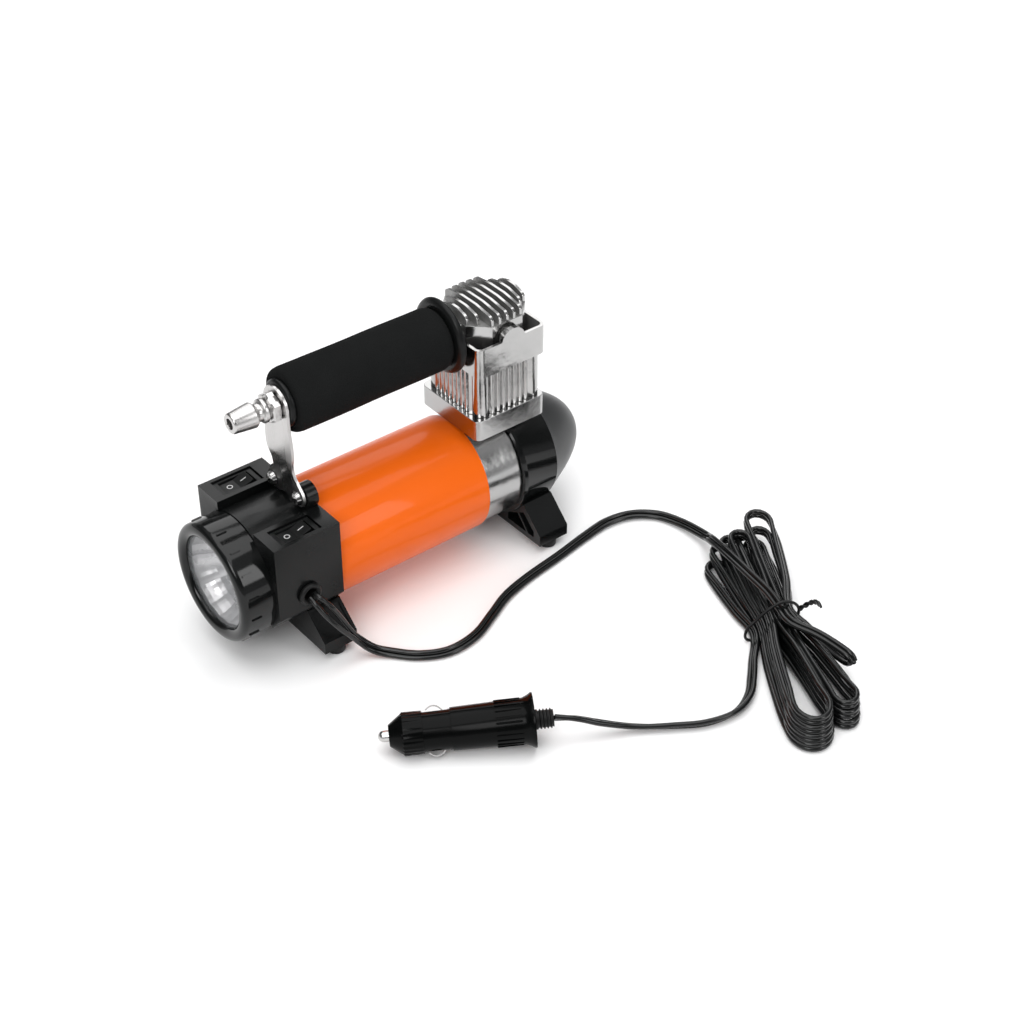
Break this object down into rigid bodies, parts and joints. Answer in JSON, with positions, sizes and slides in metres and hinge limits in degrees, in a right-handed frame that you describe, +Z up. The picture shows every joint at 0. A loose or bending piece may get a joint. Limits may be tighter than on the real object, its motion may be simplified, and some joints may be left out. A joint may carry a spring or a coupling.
{
  "type": "portable tire inflator",
  "caption": "Portable 12 volt tire inflator with lamp, rocker switches, finned cylinder, foam carrying handle with air nipple, and a tied twin lead ending in a vehicle socket plug.",
  "frame": {"origin": "on the ground under the middle of the body's box, without its cord", "axes": "+X along the motor from the lamp to the domed rear end, +Y to the side away from the cord gland, +Z up through the cylinder head"},
  "size_m": [0.2871, 0.2821, 0.1468],
  "materials": {
    "orange_paint": "glossy orange enamel on a steel sleeve",
    "gloss_black": "glossy moulded black",
    "satin_black": "satin moulded black",
    "dome_grey": "satin dark grey",
    "chrome": "bright plated casting",
    "bright_steel": "bright zinc plated steel",
    "dark_steel": "dark phosphated steel",
    "reflector": "vacuum metallised",
    "lens": "clear moulded lens",
    "foam": "matt foamed rubber",
    "rubber": "matt black rubber",
    "brass": "brass",
    "copper": "copper windings and segments",
    "graphite": "dark graphite or ferrite",
    "seal": "pale sealing ring",
    "board": "white circuit board",
    "cord": "semi-gloss black insulation"
  },
  "bodies": {
    "inflator": {"lamp_bezel": "gloss_black", "lamp_lens": "lens", "lamp_reflector": "reflector", "led_board": "board", "front_housing": "satin_black", "handle_bracket": "bright_steel", "cord_gland": "rubber", "air_pipe": "bright_steel", "foam_grip": "foam", "grip_washer": "satin_black", "grip_rear_flange": "satin_black", "air_nipple": "chrome", "motor_sleeve": "orange_paint", "motor_can": "dark_steel", "magnet_ring": "graphite", "brush_end_cap": "satin_black", "bearing_front": "bright_steel", "bearing_rear": "bright_steel", "crankcase": "chrome", "cylinder_barrel": "chrome", "valve_plate": "bright_steel", "outlet_reed": "bright_steel", "head_gasket": "graphite", "cylinder_head": "chrome", "rear_housing": "gloss_black", "dome_cap": "dome_grey", "cord_lead": "cord", "cord_tail": "cord", "cord_hank": "cord", "plug_body": "satin_black", "plug_collar": "satin_black", "plug_strain_relief": "rubber", "switch_body_left": "satin_black", "bracket_screw_left": "chrome", "brush_left": "graphite", "rubber_foot_front_left": "rubber", "rubber_foot_rear_left": "rubber", "switch_body_right": "satin_black", "bracket_screw_right": "chrome", "brush_right": "graphite", "rubber_foot_front_right": "rubber", "rubber_foot_rear_right": "rubber", "head_bolt_1": "dark_steel", "head_bolt_2": "dark_steel", "head_bolt_3": "dark_steel", "head_bolt_4": "dark_steel"},
    "rocker_left": {"rocker_left": "satin_black"},
    "rocker_right": {"rocker_right": "satin_black"},
    "armature": {"armature_shaft": "bright_steel", "armature_core": "copper", "commutator": "copper", "pinion_gear": "brass"},
    "crank_gear": {"drive_gear": "bright_steel"},
    "piston": {"piston": "bright_steel", "piston_seal": "seal", "wrist_pin": "bright_steel"},
    "connecting_rod": {"connecting_rod": "bright_steel"},
    "plug_pin": {"plug_pin": "bright_steel"},
    "plug_contact_left": {"plug_contact_left": "bright_steel"},
    "plug_contact_right": {"plug_contact_right": "bright_steel"}
  },
  "joints": [
    {"name": "rocker_left_tilt", "type": "hinge", "parent": "inflator", "child": "rocker_left", "pos_m": [-0.077, 0.025, 0.0692], "axis": [0, 1, 0], "range_deg": [0, 18]},
    {"name": "rocker_right_tilt", "type": "hinge", "parent": "inflator", "child": "rocker_right", "pos_m": [-0.077, -0.025, 0.0692], "axis": [0, 1, 0], "range_deg": [0, 18]},
    {"name": "armature_spin", "type": "hinge", "parent": "inflator", "child": "armature", "pos_m": [0, 0, 0.042], "axis": [1, 0, 0], "continuous": true},
    {"name": "crank_gear_spin", "type": "hinge", "parent": "inflator", "child": "crank_gear", "pos_m": [0.045, 0, 0.0564], "axis": [1, 0, 0], "continuous": true},
    {"name": "piston_stroke", "type": "slide", "parent": "inflator", "child": "piston", "axis": [0, 0, 1], "range_m": [0, 0.014]},
    {"name": "rod_swing", "type": "hinge", "parent": "piston", "child": "connecting_rod", "pos_m": [0.0562, 0, 0.0883], "axis": [1, 0, 0], "range_deg": [-10.3, 10.3]},
    {"name": "plug_pin_press", "type": "slide", "parent": "inflator", "child": "plug_pin", "axis": [0.8393, -0.5409, 0.0541], "range_m": [0, 0.003], "stiffness_N_per_m": 800, "springref_m": -0.001},
    {"name": "plug_contact_left_press", "type": "slide", "parent": "inflator", "child": "plug_contact_left", "axis": [0.3414, 0.602, 0.7219], "range_m": [0, 0.0015], "stiffness_N_per_m": 600, "springref_m": -0.0005},
    {"name": "plug_contact_right_press", "type": "slide", "parent": "inflator", "child": "plug_contact_right", "axis": [-0.3414, -0.602, -0.7219], "range_m": [0, 0.0015], "stiffness_N_per_m": 600, "springref_m": -0.0005}
  ],
  "couplings": [
    {"joint": "crank_gear_spin", "follows": "armature_spin", "ratio": -0.33333}
  ]
}
